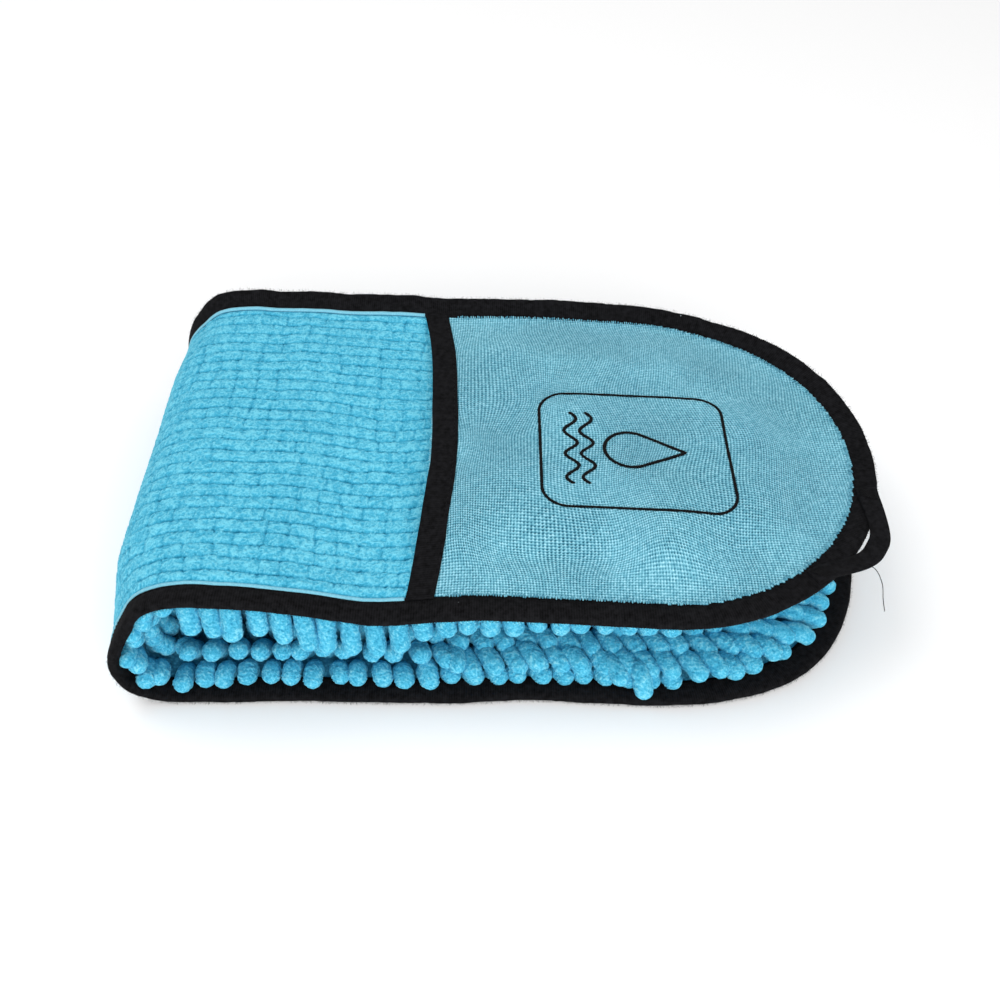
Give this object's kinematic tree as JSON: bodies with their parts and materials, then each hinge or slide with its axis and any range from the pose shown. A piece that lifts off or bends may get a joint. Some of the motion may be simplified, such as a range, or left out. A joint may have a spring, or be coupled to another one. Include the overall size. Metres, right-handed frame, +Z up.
{
  "type": "wash mitt",
  "caption": "Double-ended microfibre wash mitt folded in half, with a noodle pile inside, a hand pocket at each round end, taped rim and hanging loop.",
  "frame": {"origin": "bottom centre of the folded mitt, on the surface it lies on", "axes": "+X from the fold to the round ends, +Y from the front rim to the rear rim, +Z up, from the lower half to the upper half"},
  "size_m": [0.354, 0.212, 0.074],
  "materials": {
    "terry": "short-loop terry microfibre",
    "waffle_plush": "waffle-ribbed plush microfibre",
    "chenille": "chenille pile",
    "tape": "matt woven binding tape",
    "thread": "sewing thread"
  },
  "bodies": {
    "lower_half": {"pocket_panel_lower": "terry", "back_panel_lower": "waffle_plush", "chenille_base_lower": "chenille", "edge_binding_lower": "tape", "mouth_binding_lower": "tape", "seam_thread_lower": "thread", "noodles_lower": "chenille"},
    "fold_1": {"back_panel_fold_1": "waffle_plush", "chenille_base_fold_1": "chenille", "front_binding_fold_1": "tape", "rear_binding_fold_1": "tape", "noodles_fold_1": "chenille"},
    "fold_2": {"back_panel_fold_2": "waffle_plush", "chenille_base_fold_2": "chenille", "front_binding_fold_2": "tape", "rear_binding_fold_2": "tape", "noodles_fold_2": "chenille"},
    "fold_3": {"back_panel_fold_3": "waffle_plush", "chenille_base_fold_3": "chenille", "front_binding_fold_3": "tape", "rear_binding_fold_3": "tape", "noodles_fold_3": "chenille"},
    "upper_half": {"pocket_panel_upper": "terry", "back_panel_upper": "waffle_plush", "chenille_base_upper": "chenille", "edge_binding_upper": "tape", "mouth_binding_upper": "tape", "seam_thread_upper": "thread", "noodles_upper": "chenille", "pocket_embroidery": "thread"},
    "hanging_loop": {"hanging_loop": "tape", "loop_bar_tacks": "thread"}
  },
  "joints": [
    {"name": "fold_hinge_1", "type": "hinge", "parent": "lower_half", "child": "fold_1", "pos_m": [-0.15663, 0, 0.00251], "axis": [0, -1, 0], "range_deg": [0, 44]},
    {"name": "fold_hinge_2", "type": "hinge", "parent": "fold_1", "child": "fold_2", "pos_m": [-0.17449, 0, 0.02037], "axis": [0, -1, 0], "range_deg": [0, 44]},
    {"name": "fold_hinge_3", "type": "hinge", "parent": "fold_2", "child": "fold_3", "pos_m": [-0.17449, 0, 0.04563], "axis": [0, -1, 0], "range_deg": [0, 44]},
    {"name": "fold_hinge_4", "type": "hinge", "parent": "fold_3", "child": "upper_half", "pos_m": [-0.15663, 0, 0.06349], "axis": [0, -1, 0], "range_deg": [0, 44]},
    {"name": "loop_flip", "type": "hinge", "parent": "upper_half", "child": "hanging_loop", "pos_m": [0.15524, -0.05388, 0.0678], "axis": [-0.5388, -0.8425, 0], "range_deg": [0, 150]}
  ],
  "couplings": [
    {"joint": "fold_hinge_2", "follows": "fold_hinge_1", "ratio": 1},
    {"joint": "fold_hinge_3", "follows": "fold_hinge_1", "ratio": 1},
    {"joint": "fold_hinge_4", "follows": "fold_hinge_1", "ratio": 1}
  ]
}
